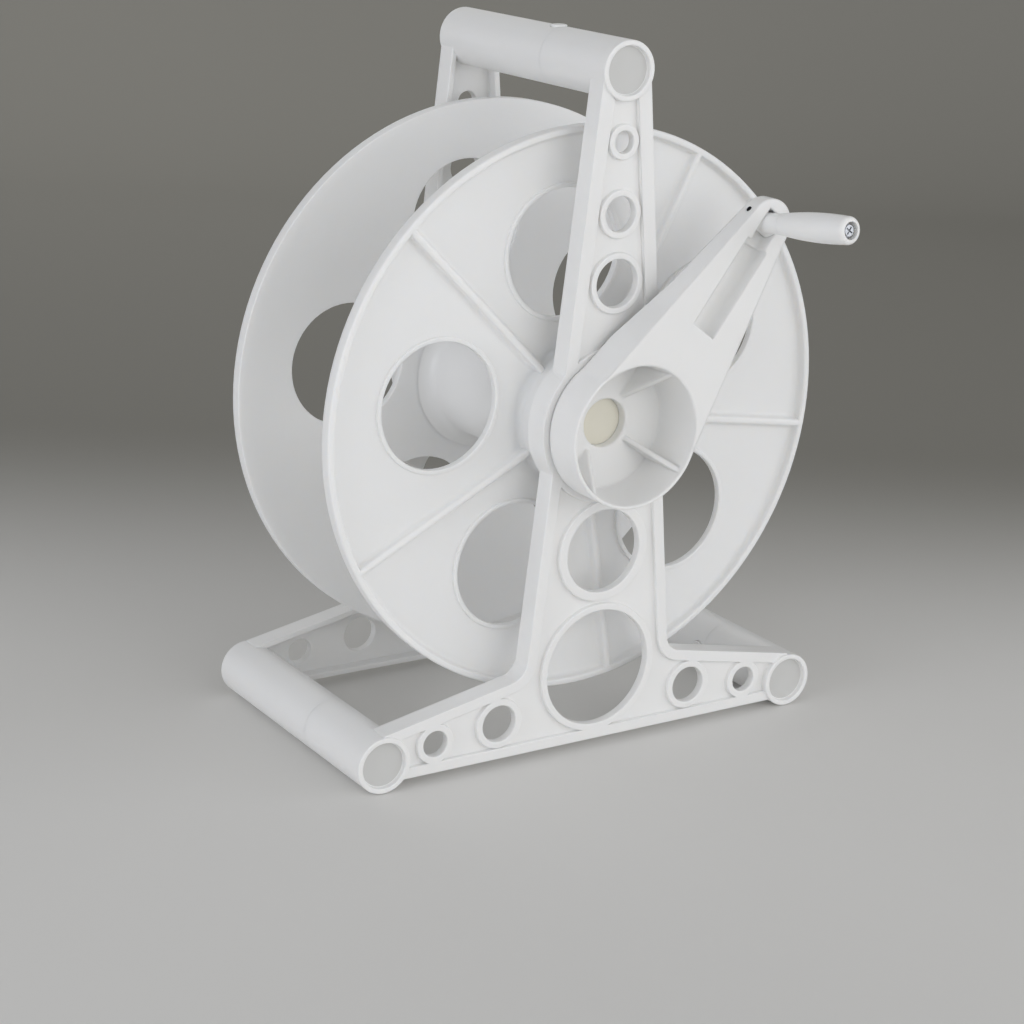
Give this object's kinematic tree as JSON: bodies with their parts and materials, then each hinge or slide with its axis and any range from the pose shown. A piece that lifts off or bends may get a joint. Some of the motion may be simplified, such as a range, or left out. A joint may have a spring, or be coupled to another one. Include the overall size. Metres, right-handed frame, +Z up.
{
  "type": "hose reel",
  "caption": "Hand-cranked hose reel: ribbed, windowed flanges on a hub core turn between tapered moulded side frames joined by tubes; the crank knob folds.",
  "frame": {"origin": "on the floor, midway between the foot tubes and midway between the side frames, under the reel's axis", "axes": "+Z up, +X along the feet, -Y towards the crank, so the reel's axis runs along Y"},
  "size_m": [0.33, 0.2631, 0.4097],
  "materials": {
    "white_plastic": "semi-gloss white moulded polypropylene",
    "natural_plastic": "natural off-white polyamide",
    "zinc_steel": "zinc-plated",
    "black_steel": "blackened"
  },
  "bodies": {
    "stand": {"front_frame": "white_plastic", "rear_frame": "white_plastic"},
    "reel": {"front_flange": "white_plastic", "rear_flange": "white_plastic", "drum_core": "white_plastic", "axle": "natural_plastic", "crank": "white_plastic", "rear_hub": "white_plastic", "front_hub_screws": "zinc_steel", "rear_hub_screws": "zinc_steel", "hinge_pin": "black_steel"},
    "knob": {"knob_spindle": "white_plastic", "knob_washer": "zinc_steel", "knob_screw": "zinc_steel"},
    "grip": {"knob_grip": "white_plastic"}
  },
  "joints": [
    {"name": "reel_spin", "type": "hinge", "parent": "stand", "child": "reel", "pos_m": [0, 0, 0.195], "axis": [0, 1, 0], "continuous": true},
    {"name": "knob_fold", "type": "hinge", "parent": "reel", "child": "knob", "pos_m": [0.08357, -0.105, 0.30794], "axis": [0.8039, 0, -0.5948], "range_deg": [0, 97.5]},
    {"name": "grip_spin", "type": "hinge", "parent": "knob", "child": "grip", "pos_m": [0.08357, -0.105, 0.30794], "axis": [0.0776, -0.9914, 0.1049], "continuous": true}
  ]
}
